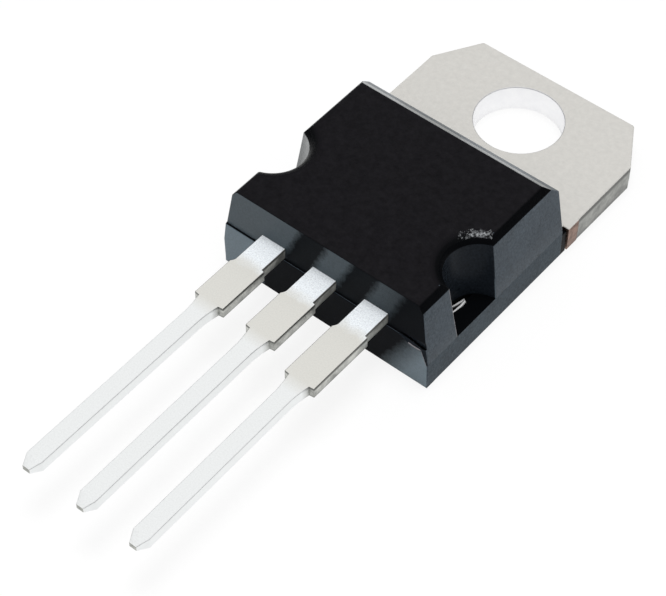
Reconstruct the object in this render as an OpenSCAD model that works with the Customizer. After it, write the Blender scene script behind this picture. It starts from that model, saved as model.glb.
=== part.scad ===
// Three-lead power package, lying on the back of its heat tab.
//
// Frame: millimetres. The origin is the centre of the screw hole on the tab's back face.
// +X runs across the package, +Y towards the free end of the tab, and +Z out of the moulded top.
// The leads run towards -Y. The back of the tab and of the moulding is the plane z = 0.

/* [Heat tab] */
// Width of the heat tab
tab_w = 10.26; // [10.2:0.02:10.4]
// Thickness of the heat tab
tab_t = 1.27; // [1.22:0.01:1.32]
// Length of the tab that stands clear of the moulding
tab_clear = 6.73; // [6.6:0.01:6.86]
// Centre of the screw hole to the free end of the tab
hole_to_end = 2.76; // [2.65:0.01:2.95]
// Diameter of the screw hole
hole_d = 3.8; // [3.7:0.05:3.9]
// Corner cut, measured across the tab
corner_cut_x = 1.23; // [0.8:0.01:1.5]
// Corner cut, measured along the tab
corner_cut_y = 2.03; // [1.2:0.01:2.2]
// Length of the cut tie bar beside the moulding
tie_l = 0.6; // [0.4:0.05:1]
// How far the cut tie bar stands proud of the tab's side
tie_proud = 0.02; // [0.01:0.01:0.1]

/* [Moulding] */
// Width of the moulding at the back
body_w = 10.2; // [10:0.05:10.2]
// Length of the moulding along the leads, at the back
body_l = 8.74; // [8.5:0.01:8.9]
// Height from the back to the moulded top
body_h = 4.4; // [4.3:0.05:4.6]
// Width of the flat top
top_w = 8.92; // [8.7:0.02:9]
// Front face set back at the top, by its draft
front_draft = 0.12; // [0.08:0.01:0.25]
// Ledge along the parting line at the front
ledge = 0.1; // [0.04:0.01:0.12]
// Height of the upright strip along each side
strip_z = 1.4; // [1.35:0.01:1.5]
// Slope at the rear of the top, measured along Y
rear_slope_y = 0.84; // [0.5:0.02:1]
// Slope at the rear of the top, measured down Z
rear_slope_z = 0.78; // [0.5:0.02:0.9]
// Rear wall set back from its foot to the slope, by its draft
rear_draft = 0.08; // [0.04:0.02:0.2]

/* [Clamp notches] */
// Radius of each notch at the bottom
notch_r = 1.2; // [1.1:0.02:1.3]
// Radius of each notch below its rounded rim
notch_rim_r = 1.42; // [1.34:0.02:1.5]
// Centre of the notches in front of the foot of the rear wall
notch_y = 5.68; // [5.5:0.02:5.8]

/* [Leads] */
// Distance between leads
pitch = 2.54;
// Underside of the leads above the back, which is also the parting line
lead_z = 2.42; // [2.4:0.01:2.5]
// Thickness of the leads
lead_t = 0.52; // [0.48:0.01:0.55]
// Width of a lead where it leaves the moulding
root_w = 1.18; // [1.1:0.02:1.24]
// Width of a lead's shoulder
shoulder_w = 1.42; // [1.34:0.02:1.5]
// Width of a lead's pin
pin_w = 0.76; // [0.7:0.02:0.86]
// Length of the leads outside the moulding
lead_l = 13.64; // [13:0.02:14]
// Shoulder length of the left and centre leads, from the moulding
shoulder_l = 3.74; // [3.5:0.02:3.9]
// Extra shoulder length of the right lead
long_shoulder = 0.74; // [0:0.02:0.8]

/* [Inside] */
// Width of the silicon die
die_w = 3.4; // [2.8:0.1:3.8]
// Length of the silicon die
die_l = 4; // [3:0.1:4.2]
// Thickness of the silicon die
die_t = 0.28; // [0.2:0.02:0.3]
// Thickness of the solder under the die
solder_t = 0.05; // [0.03:0.01:0.08]
// Diameter of the control wire
control_wire_d = 0.15; // [0.12:0.01:0.2]
// Diameter of the power wires
power_wire_d = 0.3; // [0.25:0.01:0.32]

/* [Hidden] */
$fn = 96;

// Extra length on a piece that cuts or joins another, so that no two faces fall together.
spare = 1;

// Gap between the rear wall and the cut tie bars, and the compound that fills it beside the neck.
neck_gap = 0.4;
fill_w = 10.1;
fill_z = 1.17;

// Places along the package, from the screw hole.
tab_end_y = hole_to_end;
rear_y = tab_end_y - tab_clear;
front_y = rear_y - body_l;
pin_end_y = front_y - lead_l;

waist_y = rear_y + neck_gap;
lead_top = lead_z + lead_t;

// Bevel round the flat top.
rim_w = 0.24;
rim_drop = 0.34;
rim_z = body_h - rim_drop;

// The heat tab's neck at the rear wall, and its pad and lock features inside the moulding.
tab_neck_w = 9.7;
neck_in = 0.35;
pad_w = 8.5;
pad_back_w = 7.9;
pad_step_z = 0.45;
pad_end_y = rear_y - 6.3;
lock_groove_y = rear_y - 0.9;
lock_groove_w = 0.5;
lock_groove_depth = 0.25;

// The tongue that lifts the centre lead from the pad to the height of the leads.
tongue_w = 2;
tongue_run = 1.15;
tongue_lean = 0.13;
tongue_in = 0.3;

// The bond posts at the inner ends of the outer leads.
post_in_x = 1.6;
post_out_x = 4.1;
post_l = 1.35;
post_y = front_y + 0.5;
post_hole_d = 0.7;
post_hole_in = 0.6;
post_cut = 0.5;

// The leads: their reach into the moulding, and their shapes outside it.
lead_in_y = front_y + 0.6;
root_step_right = 1.34;
root_step_left = 1.74;
flare_l = 0.25;
neck_w = 1;
neck_l = 1;
tip_l = 0.46;
tip_w = 0.34;
tip_t = 0.24;
curve_steps = 6;

// The die on its pad.
die_y = rear_y - 3.4;
solder_edge = 0.15;
die_top = tab_t + solder_t + die_t;

// Where each wire leaves the die and where it lands on its post.
control_bond_y = die_y - 1.45;
power_bond_y = die_y - 0.6;
post_bond_y = front_y + 1.2;
control_pad = [-1.2, control_bond_y, die_top];
control_post = [-2.9, post_bond_y, lead_top];
inner_pad = [0.45, power_bond_y, die_top];
inner_post = [2.3, post_bond_y, lead_top];
outer_pad = [1.15, power_bond_y, die_top];
outer_post = [3.15, post_bond_y, lead_top];

// Rise of a wire's loop as a share of its span, and its pressed feet as multiples of its diameter.
wire_bulge = 0.3;
foot_l = 2;
foot_w = 1.5;
foot_t = 0.8;

// An outline drawn in Y and Z, made w wide about the plane x = 0.
module across(w) {
  rotate([90, 0, 90]) linear_extrude(height = w, center = true) children();
}

// An outline drawn in X and Z, carried along Y from y0 to y1.
module along(y0, y1) {
  translate([0, y1, 0]) rotate([90, 0, 0]) linear_extrude(height = y1 - y0) children();
}

// A plan drawn in X and Y, raised from z0 to z1.
module plate(z0, z1) {
  translate([0, 0, z0]) linear_extrude(height = z1 - z0) children();
}

function mirrored(points) =
  concat(points, [for (i = [len(points) - 1 : -1 : 0]) [-points[i].x, points[i].y]]);

// ---- Moulding ----

// Side view: drafted front and rear, and the slope behind the flat top.
module body_side_view() {
  polygon([
    [front_y, 0], [front_y, lead_z], [front_y + front_draft, body_h],
    [rear_y - rear_draft - rear_slope_y, body_h], [rear_y - rear_draft, body_h - rear_slope_z],
    [rear_y, tab_t], [rear_y, 0]
  ]);
}

// End view: upright strip beside the tab, drafted sides and a bevel round the flat top.
module body_end_view() {
  polygon(mirrored([
    [body_w / 2, 0], [body_w / 2, strip_z], [top_w / 2 + rim_w, rim_z], [top_w / 2, body_h]
  ]));
}

// The lower mould half stands proud below the leads, by a ledge that its own draft takes away.
module parting_block() {
  intersection() {
    across(body_w + spare) polygon([
      [front_y, 0], [front_y - ledge, lead_z], [front_y + spare, lead_z], [front_y + spare, 0]
    ]);
    along(front_y - spare, front_y + spare) body_end_view();
  }
}

// Compound that ran past the rear wall, beside the tab's neck, until the tie bars stopped it.
module neck_fill() {
  plate(0, fill_z) translate([-fill_w / 2, rear_y - spare]) square([fill_w, neck_gap + spare]);
}

// Half-round notch where a mould pin held the tab down, with a bevelled rim. Its floor is level
// with the side strip, and opens down to the pad as far out as the pad's edge.
module clamp_notch(side) {
  bare_w = notch_r - (body_w - pad_w) / 2;
  translate([side * body_w / 2, rear_y - notch_y, 0]) {
    translate([0, 0, strip_z]) cylinder(h = rim_z - strip_z, r1 = notch_r, r2 = notch_rim_r);
    translate([0, 0, rim_z]) cylinder(h = body_h - rim_z, r1 = notch_rim_r, r2 = notch_rim_r + rim_w);
    intersection() {
      translate([0, 0, tab_t]) cylinder(h = strip_z - tab_t, r = notch_r);
      translate([-side * notch_r, 0, tab_t]) cube([2 * bare_w, 2 * notch_r, spare], center = true);
    }
  }
}

// The compound fills every space round the metal, the die and the wires.
module moulded_body() {
  color("#232326") difference() {
    union() {
      intersection() {
        across(body_w + spare) body_side_view();
        along(front_y - spare, rear_y + spare) body_end_view();
      }
      parting_block();
      neck_fill();
    }
    for (side = [-1, 1]) clamp_notch(side);
    heat_tab();
    left_lead();
    right_lead();
    silicon_die();
    die_solder();
    control_wire();
    power_wire_inner();
    power_wire_outer();
  }
}

// ---- Leads ----

// Half the neck's width at t, from 0 at the shoulder to 1 at the pin: a hollow curve.
function neck_half(t) = pin_w / 2 + (neck_w - pin_w) / 2 * (1 - sin(90 * t));

// Half the flare's width at t, from 0 at the root to 1 at the shoulder.
function flare_half(t) = root_w / 2 + (shoulder_w - root_w) / 2 * (1 - cos(90 * t));

// One side of a lead's plan, as half-widths down to the tip. The dam bar was cut off at step.
function lead_edge(step, shoulder, flared) = concat(
  [[root_w / 2, lead_in_y]],
  flared ? [for (i = [0 : curve_steps])
             let (t = i / curve_steps) [flare_half(t), front_y - step + flare_l * (1 - t)]]
         : [[root_w / 2, front_y - step], [shoulder_w / 2, front_y - step]],
  [[shoulder_w / 2, front_y - shoulder]],
  [for (i = [0 : curve_steps])
     let (t = i / curve_steps) [neck_half(t), front_y - shoulder - neck_l * t]],
  [[pin_w / 2, pin_end_y + tip_l], [tip_w / 2, pin_end_y]]
);

// Plan of a whole lead about x = 0, with a square step on its right and a flare on its left.
module lead_plan(shoulder) {
  right = lead_edge(root_step_right, shoulder, false);
  left = lead_edge(root_step_left, shoulder, true);
  polygon(concat(right, [for (i = [len(left) - 1 : -1 : 0]) [-left[i].x, left[i].y]]));
}

// Side view of a straight lead, from inside the moulding to the coined tip.
module lead_side_view() {
  thin = (lead_t - tip_t) / 2;
  polygon([
    [lead_in_y, lead_z], [lead_in_y, lead_top], [pin_end_y + tip_l, lead_top],
    [pin_end_y, lead_top - thin], [pin_end_y, lead_z + thin], [pin_end_y + tip_l, lead_z]
  ]);
}

module lead(shoulder) {
  intersection() {
    plate(lead_z, lead_top) lead_plan(shoulder);
    across(shoulder_w + spare) lead_side_view();
  }
}

// Bond post, right of centre: a wide foot with a lock hole and a cut outer corner.
module bond_post() {
  difference() {
    plate(lead_z, lead_top) polygon([
      [post_in_x, post_y], [post_out_x - post_cut, post_y], [post_out_x, post_y + post_cut],
      [post_out_x, post_y + post_l], [post_in_x, post_y + post_l]
    ]);
    translate([post_out_x - post_hole_in, post_y + post_l - post_hole_in, lead_z - spare])
      cylinder(h = lead_t + 2 * spare, d = post_hole_d);
  }
}

module left_lead() {
  color("#d9d8d2") {
    translate([-pitch, 0, 0]) lead(shoulder_l);
    mirror([1, 0, 0]) bond_post();
  }
}

module right_lead() {
  color("#d9d8d2") {
    translate([pitch, 0, 0]) lead(shoulder_l + long_shoulder);
    bond_post();
  }
}

// ---- Heat tab, with the centre lead in one piece ----

// Plan of the neck and the tab, with the corners cut and the tie bars trimmed.
module tab_plan() {
  polygon(mirrored([
    [tab_neck_w / 2, rear_y - neck_in], [tab_neck_w / 2, waist_y],
    [tab_w / 2 + tie_proud, waist_y], [tab_w / 2 + tie_proud, waist_y + tie_l],
    [tab_w / 2, waist_y + tie_l + tie_proud], [tab_w / 2, tab_end_y - corner_cut_y],
    [tab_w / 2 - corner_cut_x, tab_end_y]
  ]));
}

// The pad is narrower at the back, so that the moulding grips under its edges.
module die_pad() {
  pad_y = (rear_y + pad_end_y) / 2;
  pad_l = rear_y - pad_end_y;
  translate([0, pad_y, tab_t / 2 + pad_step_z / 2])
    cube([pad_w, pad_l, tab_t - pad_step_z], center = true);
  translate([0, pad_y, pad_step_z / 2]) cube([pad_back_w, pad_l, pad_step_z], center = true);
}

// Groove across the pad that locks the moulding and stops damp creeping in.
module lock_groove() {
  across(pad_w + spare) polygon([
    [lock_groove_y - lock_groove_w / 2, tab_t], [lock_groove_y, tab_t - lock_groove_depth],
    [lock_groove_y + lock_groove_w / 2, tab_t], [lock_groove_y, tab_t + spare]
  ]);
}

// Side view of the tongue between the pad and the centre lead.
module tongue_side_view() {
  heel_y = pad_end_y;
  head_y = pad_end_y - tongue_run;
  polygon([
    [heel_y + tongue_in, tab_t], [heel_y + tongue_lean, tab_t], [head_y + tongue_lean, lead_top],
    [lead_in_y, lead_top], [lead_in_y, lead_z], [head_y - tongue_lean, lead_z],
    [heel_y - tongue_lean, tab_t - lead_t], [heel_y + tongue_in, tab_t - lead_t]
  ]);
}

module heat_tab() {
  color("#d2d1cb") difference() {
    union() {
      plate(0, tab_t) tab_plan();
      difference() {
        die_pad();
        lock_groove();
      }
      across(tongue_w) tongue_side_view();
      lead(shoulder_l);
    }
    translate([0, 0, -spare]) cylinder(h = tab_t + 2 * spare, d = hole_d);
  }
}

// ---- Die, solder and wires ----

module die_solder() {
  color("#9a9a98") translate([0, die_y, tab_t + solder_t / 2])
    cube([die_w + 2 * solder_edge, die_l + 2 * solder_edge, solder_t], center = true);
}

module silicon_die() {
  color("#5b5f6b") translate([0, die_y, die_top - die_t / 2]) cube([die_w, die_l, die_t], center = true);
}

// Flattened end of a wire where it was pressed down, with its heel at the origin, running to -X.
module wire_foot(d) {
  translate([-foot_l * d, -foot_w * d / 2, 0]) cube([foot_l * d, foot_w * d, foot_t * d]);
  for (x = [-foot_l * d, 0]) translate([x, 0, 0]) cylinder(h = foot_t * d, d = foot_w * d);
}

// One loop of wire from a pad on the die to a post: a round arc between two pressed feet.
module wire(from, to, d) {
  run = norm([to.x - from.x, to.y - from.y]);
  rise = to.z - from.z;
  chord = norm([run, rise]);
  bulge = wire_bulge * chord;
  arc_r = (chord * chord / 4 + bulge * bulge) / (2 * bulge);
  half_angle = asin(chord / 2 / arc_r);
  translate(from) rotate([0, 0, atan2(to.y - from.y, to.x - from.x)]) {
    wire_foot(d);
    translate([run, 0, rise]) mirror([1, 0, 0]) wire_foot(d);
    translate([0, 0, foot_t * d / 2]) rotate([0, -atan2(rise, run), 0])
      translate([chord / 2, 0, bulge - arc_r]) rotate([90, 0, 0])
        rotate([0, 0, 90 - half_angle]) rotate_extrude(angle = 2 * half_angle)
          translate([arc_r, 0]) circle(d = d);
  }
}

module control_wire() {
  color("#cfd2d6") wire(control_pad, control_post, control_wire_d);
}

module power_wire_inner() {
  color("#cfd2d6") wire(inner_pad, inner_post, power_wire_d);
}

module power_wire_outer() {
  color("#cfd2d6") wire(outer_pad, outer_post, power_wire_d);
}

moulded_body();
heat_tab();
left_lead();
right_lead();
silicon_die();
die_solder();
control_wire();
power_wire_inner();
power_wire_outer();
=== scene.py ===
"""Dresses a three-lead power package: epoxy moulded round a tinned copper heat tab and its leads."""

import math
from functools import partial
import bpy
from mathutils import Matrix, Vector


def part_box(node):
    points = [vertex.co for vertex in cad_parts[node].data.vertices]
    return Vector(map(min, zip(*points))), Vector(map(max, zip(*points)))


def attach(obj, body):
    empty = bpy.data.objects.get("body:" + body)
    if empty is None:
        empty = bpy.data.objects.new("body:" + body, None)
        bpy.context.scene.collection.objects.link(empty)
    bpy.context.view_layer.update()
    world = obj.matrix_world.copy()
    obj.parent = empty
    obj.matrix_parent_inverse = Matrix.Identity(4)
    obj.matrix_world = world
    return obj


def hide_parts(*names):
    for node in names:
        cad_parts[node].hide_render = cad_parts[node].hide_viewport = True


bl_info = {
    "name": "Power package",
    "version": (1, 0, 0),
    "blender": (4, 5, 0),
    "location": "3D View > Sidebar > Package",
    "description": "Builds the moulding, heat tab and leads of a three-lead power package",
    "category": "Add Mesh",
}

from types import SimpleNamespace

import bmesh
import bpy
import numpy as np
from bpy.props import FloatProperty, FloatVectorProperty, PointerProperty
from mathutils import Matrix, Vector

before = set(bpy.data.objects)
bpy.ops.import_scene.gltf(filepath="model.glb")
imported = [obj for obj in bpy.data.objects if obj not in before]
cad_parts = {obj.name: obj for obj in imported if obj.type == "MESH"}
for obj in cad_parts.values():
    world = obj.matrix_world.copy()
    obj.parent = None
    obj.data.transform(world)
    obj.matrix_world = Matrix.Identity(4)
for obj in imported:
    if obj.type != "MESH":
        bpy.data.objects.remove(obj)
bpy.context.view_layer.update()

# Meshes are drawn in millimetres, as the part is dimensioned, and scaled to metres at the end.
MM = 0.001
BODY = "root"


def box_in_mm(node):
    """The lowest and highest corner of a CAD node, in millimetres."""
    return tuple(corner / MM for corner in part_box(node))


BODY_LOW, BODY_HIGH = box_in_mm("moulded_body")
_, TAB_HIGH = box_in_mm("heat_tab")
LEAD_LOW, LEAD_HIGH = box_in_mm("left_lead")
# The halves of the mould part at the leads' lower face.
PARTING = LEAD_LOW.z


# ---- Sizes and colours ----


def length(name, description, millimetres):
    """A length property, given in millimetres and kept in metres."""
    return FloatProperty(
        name=name, description=description, default=millimetres * MM, unit="LENGTH", precision=5
    )


def angle(name, description, degrees):
    """An angle property, given in degrees and kept in radians."""
    return FloatProperty(
        name=name, description=description, default=math.radians(degrees), unit="ROTATION", precision=4
    )


def linear(hex_code):
    """An sRGB hex colour as linear red, green and blue."""
    channels = [int(hex_code[i : i + 2], 16) / 255 for i in (0, 2, 4)]
    return [c / 12.92 if c <= 0.04045 else ((c + 0.055) / 1.055) ** 2.4 for c in channels]


def colour(name, description, hex_code):
    """A colour property, given as an sRGB hex value."""
    return FloatVectorProperty(
        name=name, description=description, default=linear(hex_code), subtype="COLOR", min=0, max=1
    )


class MouldingSizes(bpy.types.PropertyGroup):
    tab_clear: length("Tab clear", "Tab that stands clear of the rear wall", 6.73)
    top_width: length("Top width", "Width of the flat top", 8.92)
    rim_width: length("Rim width", "Bevel round the top, across", 0.24)
    rim_drop: length("Rim drop", "Bevel round the top, down", 0.34)
    strip_height: length("Strip height", "Upright strip along each side", 1.4)
    front_draft: length("Front draft", "Front face set back at the top", 0.12)
    ledge: length("Ledge", "Lower mould half proud of the upper one at the front", 0.1)
    rear_slope_run: length("Rear slope run", "Slope behind the flat top, along the package", 0.84)
    rear_slope_drop: length("Rear slope drop", "Slope behind the flat top, downwards", 0.78)
    rear_draft: length("Rear draft", "Rear wall set back at the slope", 0.08)
    notch_radius: length("Notch radius", "Radius of the clamp notches at the bottom", 1.2)
    notch_rim_radius: length("Notch rim radius", "Radius of the clamp notches below the rim", 1.42)
    notch_rounding: length("Notch rounding", "Rounding of the bevel round a notch", 0.5)
    notch_setback: length("Notch setback", "Notch centres in front of the rear wall", 5.68)
    edge_radius: length("Edge radius", "Rounding of the moulding's edges", 0.05)
    rim_radius: length("Rim radius", "Rounding of the bevel round the top", 0.1)
    back_recess: length("Back recess", "Moulding above the bare back of the tab", 0.01)
    worn_length: length("Worn length", "Worn end of the parting line, across", 1.2)
    worn_depth: length("Worn depth", "Worn end of the parting line, downwards", 0.24)
    chip_rise: length("Chip rise", "Chip over the worn end of the parting line", 0.2)
    chip_depth: length("Chip depth", "Chip over the worn end, inwards", 0.06)
    pale_length: length("Pale length", "Pale edge of the worn end, across", 0.7)
    scuff_x: length("Scuff, across", "Middle of the scuff behind the right notch", 4.26)
    scuff_setback: length("Scuff setback", "Middle of the scuff behind the notch's centre", 1.08)
    scuff_drop: length("Scuff drop", "Middle of the scuff below the flat top", 0.06)
    fill_width: length("Fill width", "Compound beside the tab's neck", 10.18)
    fill_height: length("Fill height", "Height of the compound beside the neck", 1.17)


class TabSizes(bpy.types.PropertyGroup):
    thickness: length("Thickness", "Thickness of the tab", 1.27)
    width: length("Width", "Width of the tab", 10.26)
    hole_diameter: length("Hole diameter", "Diameter of the screw hole", 3.8)
    corner_cut_x: length("Corner cut, across", "Corner cut measured across the tab", 1.23)
    corner_cut_y: length("Corner cut, along", "Corner cut measured along the tab", 2.03)
    corner_radius: length("Corner radius", "Rounding of the cut corners", 0.14)
    neck_width: length("Neck width", "Width of the neck at the rear wall", 9.7)
    neck_gap: length("Neck gap", "Neck between the rear wall and the tie bars", 0.35)
    neck_reach: length("Neck reach", "Neck inside the moulding", 0.35)
    tie_length: length("Tie length", "Length of the cut tie bar", 0.7)
    pad_width: length("Pad width", "Width of the pad inside the moulding", 8.5)
    pad_back_width: length("Pad back width", "Width of the pad at its back", 7.9)
    pad_length: length("Pad length", "Length of the pad inside the moulding", 6.3)
    pad_step: length("Pad step", "Height of the step along the pad's back", 0.45)
    rollover: length("Rollover", "Rounding of the punched top edge", 0.05)
    tongue_width: length("Tongue width", "Width of the tongue up to the centre lead", 2.0)
    tongue_run: length("Tongue run", "Run of the tongue along the package", 1.15)
    tongue_lean: length("Tongue lean", "Half the tongue's run through its thickness", 0.13)


class LeadSizes(bpy.types.PropertyGroup):
    pitch: length("Pitch", "Distance between leads", 2.54)
    root_width: length("Root width", "Width where a lead leaves the moulding", 1.18)
    shoulder_width: length("Shoulder width", "Width of the shoulder", 1.42)
    pin_width: length("Pin width", "Width of the pin", 0.76)
    shoulder_length: length("Shoulder length", "Shoulder of the left and centre leads", 3.74)
    long_shoulder: length("Long shoulder", "Extra shoulder of the right lead", 0.74)
    frost_length: length("Frost length", "Frosted tin beside the moulding", 1.2)
    step_right: length("Right step", "Root to the square step on the right edge", 1.34)
    step_left: length("Left step", "Root to the flared step on the left edge", 1.74)
    flare_length: length("Flare length", "Length of the flare on the left edge", 0.25)
    neck_width: length("Neck width", "Width below the shoulder", 1.0)
    neck_length: length("Neck length", "Length of the hollow curve below the shoulder", 1.0)
    tip_length: length("Tip length", "Length of the coined tip", 0.46)
    tip_width: length("Tip width", "Width of the coined tip", 0.34)
    tip_thickness: length("Tip thickness", "Thickness of the coined tip", 0.24)
    lean: length("Lean", "Lean of the centre and right pins' tips to the right", 0.1)
    reach: length("Reach", "Plain lead inside the moulding", 0.6)
    rollover: length("Rollover", "Rounding of the punched top edge", 0.04)
    burr_radius: length("Burr radius", "Rounding of the lower edge", 0.03)
    post_inner: length("Post, inner side", "Inner side of a bond post from the middle", 1.6)
    post_outer: length("Post, outer side", "Outer side of a bond post from the middle", 4.1)
    post_setback: length("Post setback", "Bond posts behind the front face", 0.5)
    post_length: length("Post length", "Length of a bond post", 1.35)
    post_cut: length("Post cut", "Cut on a bond post's outer corner", 0.5)
    post_hole_inset: length("Post hole inset", "Lock hole from the post's corner", 0.6)
    post_hole_diameter: length("Post hole diameter", "Diameter of the lock hole", 0.7)


class PackageColours(bpy.types.PropertyGroup):
    epoxy_top: colour("Epoxy, eroded", "Matte top of the moulding", "131215")
    epoxy_rim: colour("Epoxy, rim", "Rounded rim and notches of the moulding", "060709")
    epoxy_side: colour("Epoxy, polished", "Smooth sides of the moulding", "434c54")
    epoxy_gloss: colour("Epoxy, glossy", "Slope behind the flat top", "6b6f70")
    epoxy_strip: colour("Epoxy, below a notch", "Upright wall under a notch", "444d54")
    epoxy_scuff: colour("Epoxy, scuffed", "Fine scratches behind a notch", "e2e6ea")
    epoxy_worn: colour("Epoxy, worn", "Edges that lost their skin", "8a868a")
    epoxy_wall: colour("Epoxy, notch wall", "Walls of the clamp notches", "1c2127")
    epoxy_blasted: colour("Epoxy, blasted", "Pale patches on the moulding's front", "475259")
    tin: colour("Tin", "Matte tin plate on the tab", "e2e0db")
    root_tin: colour("Tin, frosted", "Tin on the leads beside the moulding", "ecf1f5")
    shoulder_tin: colour("Tin, plain", "Tin on the shoulders of the leads", "e1e0da")
    dipped_tin: colour("Tin, dipped", "Tin on the pins", "f3f5f5")
    bore_tin: colour("Tin, burnished", "Wall of the screw hole", "fcfcff")
    pad_tin: colour("Tin, pressed", "Pad bared by the clamp notches", "696967")
    shear: colour("Sheared edge", "Punched edges of the copper alloy", "b4b5b0")
    copper: colour("Cut copper", "Bare copper where the tie bars were cut", "8f766a")
    silicon: colour("Silicon", "Polished silicon die", "5b5f6b")
    solder: colour("Solder", "Solder under the die", "9a9a98")
    aluminium: colour("Aluminium", "Bond wires", "d5d8dc")
    floor: colour("Floor", "Plain studio floor", "fafafa")


class StageSettings(bpy.types.PropertyGroup):
    aim_x: length("Aim, across", "Point that the camera looks at", 0.63)
    aim_y: length("Aim, along", "Point that the camera looks at", -12.92)
    aim_z: length("Aim, up", "Point that the camera looks at", 2.2)
    distance: length("Camera distance", "Camera to the point that it looks at", 86.89)
    azimuth: angle("Camera azimuth", "Camera's turn from the front towards the right", 39.41)
    elevation: angle("Camera elevation", "Angle between the line of sight and the floor", 50.34)
    lens: FloatProperty(name="Camera lens", description="Focal length", default=122.7, unit="CAMERA")
    floor_size: length("Floor size", "Side of the floor", 4000)
    floor_gap: length("Floor gap", "Floor below the package", 0.01)
    lamp_size: length("Lamp size", "Side of the square lamp overhead", 160)
    lamp_y: length("Lamp, along", "Lamp behind the screw hole", 15)
    lamp_z: length("Lamp, up", "Height of the lamp", 400)
    lamp_power: FloatProperty(name="Lamp power", description="Power of the lamp", default=0.9, unit="POWER")


def in_mm(group):
    """Every length in a property group, as a plain number of millimetres."""
    return SimpleNamespace(**{name: getattr(group, name) / MM for name in group.__annotations__})


def package_sizes(scene):
    """The sizes of the moulding, the tab and the leads, with the places that follow from them."""
    mould, tab, lead = map(in_mm, (scene.package_moulding, scene.package_tab, scene.package_leads))
    mould.front = lead.root = BODY_LOW.y + mould.ledge
    mould.rear = TAB_HIGH.y - mould.tab_clear
    mould.rim = BODY_HIGH.z - mould.rim_drop
    mould.notch_y = mould.rear - mould.notch_setback
    tab.waist = mould.rear + tab.neck_gap
    tab.heel = mould.rear - tab.pad_length
    return mould, tab, lead


# ---- Outlines ----


def rounded(corners, closed=True, steps=5):
    """A 2-D line through corners given as (x, y, radius), each turned in an arc of that radius."""
    line = []
    last = len(corners) - 1
    for i, (x, y, radius) in enumerate(corners):
        corner = Vector((x, y))
        if radius == 0 or (not closed and i in (0, last)):
            line.append(corner)
            continue
        back = (Vector(corners[i - 1][:2]) - corner).normalized()
        ahead = (Vector(corners[(i + 1) % len(corners)][:2]) - corner).normalized()
        half = back.angle(ahead) / 2
        centre = corner + (back + ahead).normalized() * radius / math.sin(half)
        start = corner + back * radius / math.tan(half) - centre
        end = corner + ahead * radius / math.tan(half) - centre
        line += [centre + start.slerp(end, k / steps) * radius for k in range(steps + 1)]
    return line


def arc(centre, radius, start, end, steps):
    """Points along an arc, from one angle to another in radians."""
    angles = np.linspace(start, end, steps + 1)
    return [(centre[0] + radius * math.cos(a), centre[1] + radius * math.sin(a)) for a in angles]


def mirrored(half):
    """A closed outline from its right half, listed from the front to the back."""
    return list(half) + [(-x, *rest) for x, *rest in reversed(half)]


def inset(outline, distance):
    """A closed anticlockwise outline moved inwards by a distance."""
    moved = []
    for i, point in enumerate(outline):
        before = (point - outline[i - 1]).normalized()
        after = (outline[(i + 1) % len(outline)] - point).normalized()
        left = Vector((-before.y - after.y, before.x + after.x))
        moved.append(point + left * distance / (1 + before.dot(after)))
    return moved


def rise(corners, inwards):
    """A wall's profile drawn upwards as (position, height, radius), up to the flat top.

    inwards is 1 or -1, the way in which the flat top goes on from the last corner.
    """
    position, height, _ = corners[-1]
    return np.array(rounded([*corners, (position + inwards, height, 0)], closed=False)[:-1])


def at(profile, height):
    """The position on a profile at a height."""
    return float(np.interp(height, profile[:, 1], profile[:, 0]))


# ---- Meshes ----


# A face is level where its normal's upward part is at least this.
LEVEL = 0.9999


def skin(bm, rings):
    """Faces between closed rings of vertices, each ring joined to the next."""
    for low, high in zip(rings, rings[1:]):
        count = len(low)
        for i in range(count):
            j = (i + 1) % count
            bm.faces.new((low[i], low[j], high[j], high[i]))


def ring(bm, outline, height):
    """A ring of vertices along a plan outline, at one height."""
    return [bm.verts.new((x, y, height)) for x, y in outline]


def closed_loft(bm, rings):
    """A skin over rings of vertices, with both ends closed."""
    skin(bm, rings)
    bm.faces.new(rings[0])
    bm.faces.new(rings[-1])


def bar(outline, axis, ends):
    """A bar along the x or y axis, between two ends, from its outline in the other axes."""
    bm = bmesh.new()
    closed_loft(bm, [
        [bm.verts.new((end, a, z) if axis == "x" else (a, end, z)) for a, z in outline] for end in ends
    ])
    return bm


def slab(bm, rings, holes):
    """A plate with a hole through it, from its outer and inner rings, bottom to top."""
    skin(bm, rings)
    skin(bm, holes)
    for outer, inner in ((rings[0], holes[0]), (rings[-1], holes[-1])):
        edges = [bm.edges.get((loop[i - 1], loop[i])) for loop in (outer, inner) for i in range(len(loop))]
        bmesh.ops.triangle_fill(bm, edges=edges, use_beauty=True, use_dissolve=False)


def object_from(name, bm, materials):
    """A new object, in millimetres, from a bmesh whose faces then face outwards."""
    bmesh.ops.recalc_face_normals(bm, faces=bm.faces)
    mesh = bpy.data.meshes.new(name)
    bm.to_mesh(mesh)
    bm.free()
    for material in materials:
        mesh.materials.append(material)
    piece = bpy.data.objects.new(name, mesh)
    bpy.context.scene.collection.objects.link(piece)
    return piece


def apply_modifiers(piece):
    """Makes what a piece's modifiers show its own mesh."""
    shown = piece.evaluated_get(bpy.context.evaluated_depsgraph_get())
    mesh = bpy.data.meshes.new_from_object(shown)
    old = piece.data
    piece.modifiers.clear()
    piece.data = mesh
    bpy.data.meshes.remove(old)


def combine(piece, bm, operation):
    """Adds a solid to a piece or cuts it away."""
    other = object_from("solid", bm, piece.data.materials)
    step = piece.modifiers.new("combine", "BOOLEAN")
    step.operation = operation
    step.solver = "EXACT"
    step.object = other
    apply_modifiers(piece)
    bpy.data.objects.remove(other)


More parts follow.
